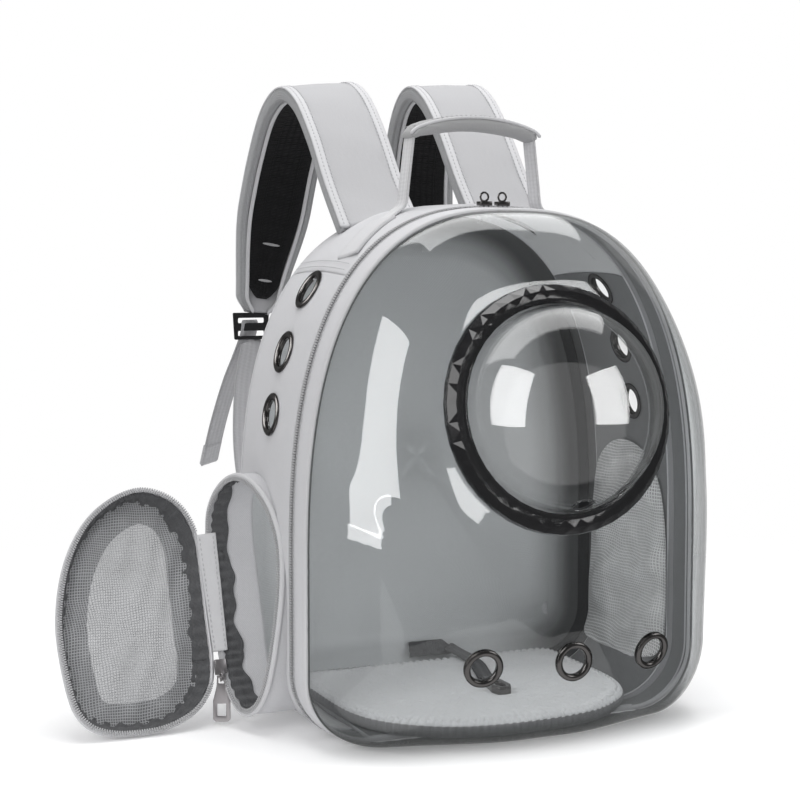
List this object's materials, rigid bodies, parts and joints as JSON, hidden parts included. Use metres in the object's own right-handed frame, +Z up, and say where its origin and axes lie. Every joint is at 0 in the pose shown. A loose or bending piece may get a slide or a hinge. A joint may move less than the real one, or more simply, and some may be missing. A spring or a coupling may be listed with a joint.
{
  "type": "pet carrier backpack",
  "caption": "Soft backpack for carrying a small pet, with a clear bulging front cover, a round dome window, an open side door, padded shoulder straps and a top handle.",
  "frame": {"origin": "on the floor under the middle of the base board", "axes": "+X to the right as the front is seen, the clear front faces -Y, +Z up"},
  "size_m": [0.5176, 0.5589, 0.5347],
  "materials": {
    "cloth": "fine woven polyester, light grey",
    "binding": "light grey binding tape and piping",
    "zip": "nylon zip coil",
    "clear": "clear moulded sheet with a faint smoke tint",
    "ring": "gloss black, faceted",
    "gunmetal": "dark nickel plating",
    "steel": "satin zinc casting",
    "lining": "dark grey gathered lining",
    "mesh": "fine grey mesh",
    "plush": "white short-pile plush",
    "black": "black ribbed air mesh",
    "plastic": "moulded acetal",
    "webbing": "ribbed polyester webbing"
  },
  "bodies": {
    "bag": {"side_panel_left": "cloth", "side_panel_right": "cloth", "top_panel": "cloth", "base_panel": "cloth", "back_panel": "cloth", "front_band": "cloth", "main_zip": "zip", "main_zip_slider_left": "steel", "main_zip_slider_right": "steel", "piping": "binding", "clear_cover": "clear", "cover_eyelet_1": "gunmetal", "cover_eyelet_2": "gunmetal", "cover_eyelet_3": "gunmetal", "side_eyelet_left_1": "gunmetal", "side_eyelet_left_2": "gunmetal", "side_eyelet_left_3": "gunmetal", "side_eyelet_right_1": "gunmetal", "side_eyelet_right_2": "gunmetal", "side_eyelet_right_3": "gunmetal", "dome": "clear", "door_collar": "cloth", "collar_lining": "lining", "collar_zip": "zip", "door_hinge_strip": "binding", "door_tray": "cloth", "door_lining": "lining", "door_mesh": "mesh", "door_zip": "zip", "door_zip_slider": "steel", "window_mesh_right": "mesh", "window_binding_right": "binding", "strap_left": "cloth", "strap_right": "cloth", "strap_lining_left": "black", "strap_lining_right": "black", "strap_adjuster_left": "plastic", "strap_adjuster_right": "plastic", "strap_webbing_left": "webbing", "strap_webbing_right": "webbing", "strap_tail_left": "webbing", "strap_tail_right": "webbing", "handle_webbing_left": "webbing", "handle_webbing_right": "webbing", "handle_grip": "cloth", "floor_mat": "plush", "tether_strap": "lining", "tether_hook": "gunmetal"},
    "lock_ring": {"dome_ring": "ring"},
    "pull_tab": {"door_zip_pull": "steel"}
  },
  "joints": [
    {"name": "ring_turn", "type": "hinge", "parent": "bag", "child": "lock_ring", "pos_m": [0, -0.159, 0.264], "axis": [0, -0.983, 0.1838], "range_deg": [0, 30]},
    {"name": "pull_swing", "type": "hinge", "parent": "bag", "child": "pull_tab", "pos_m": [-0.212, 0.01444, 0.03986], "axis": [-0.9171, 0.3987, 0], "range_deg": [0, 100]}
  ]
}
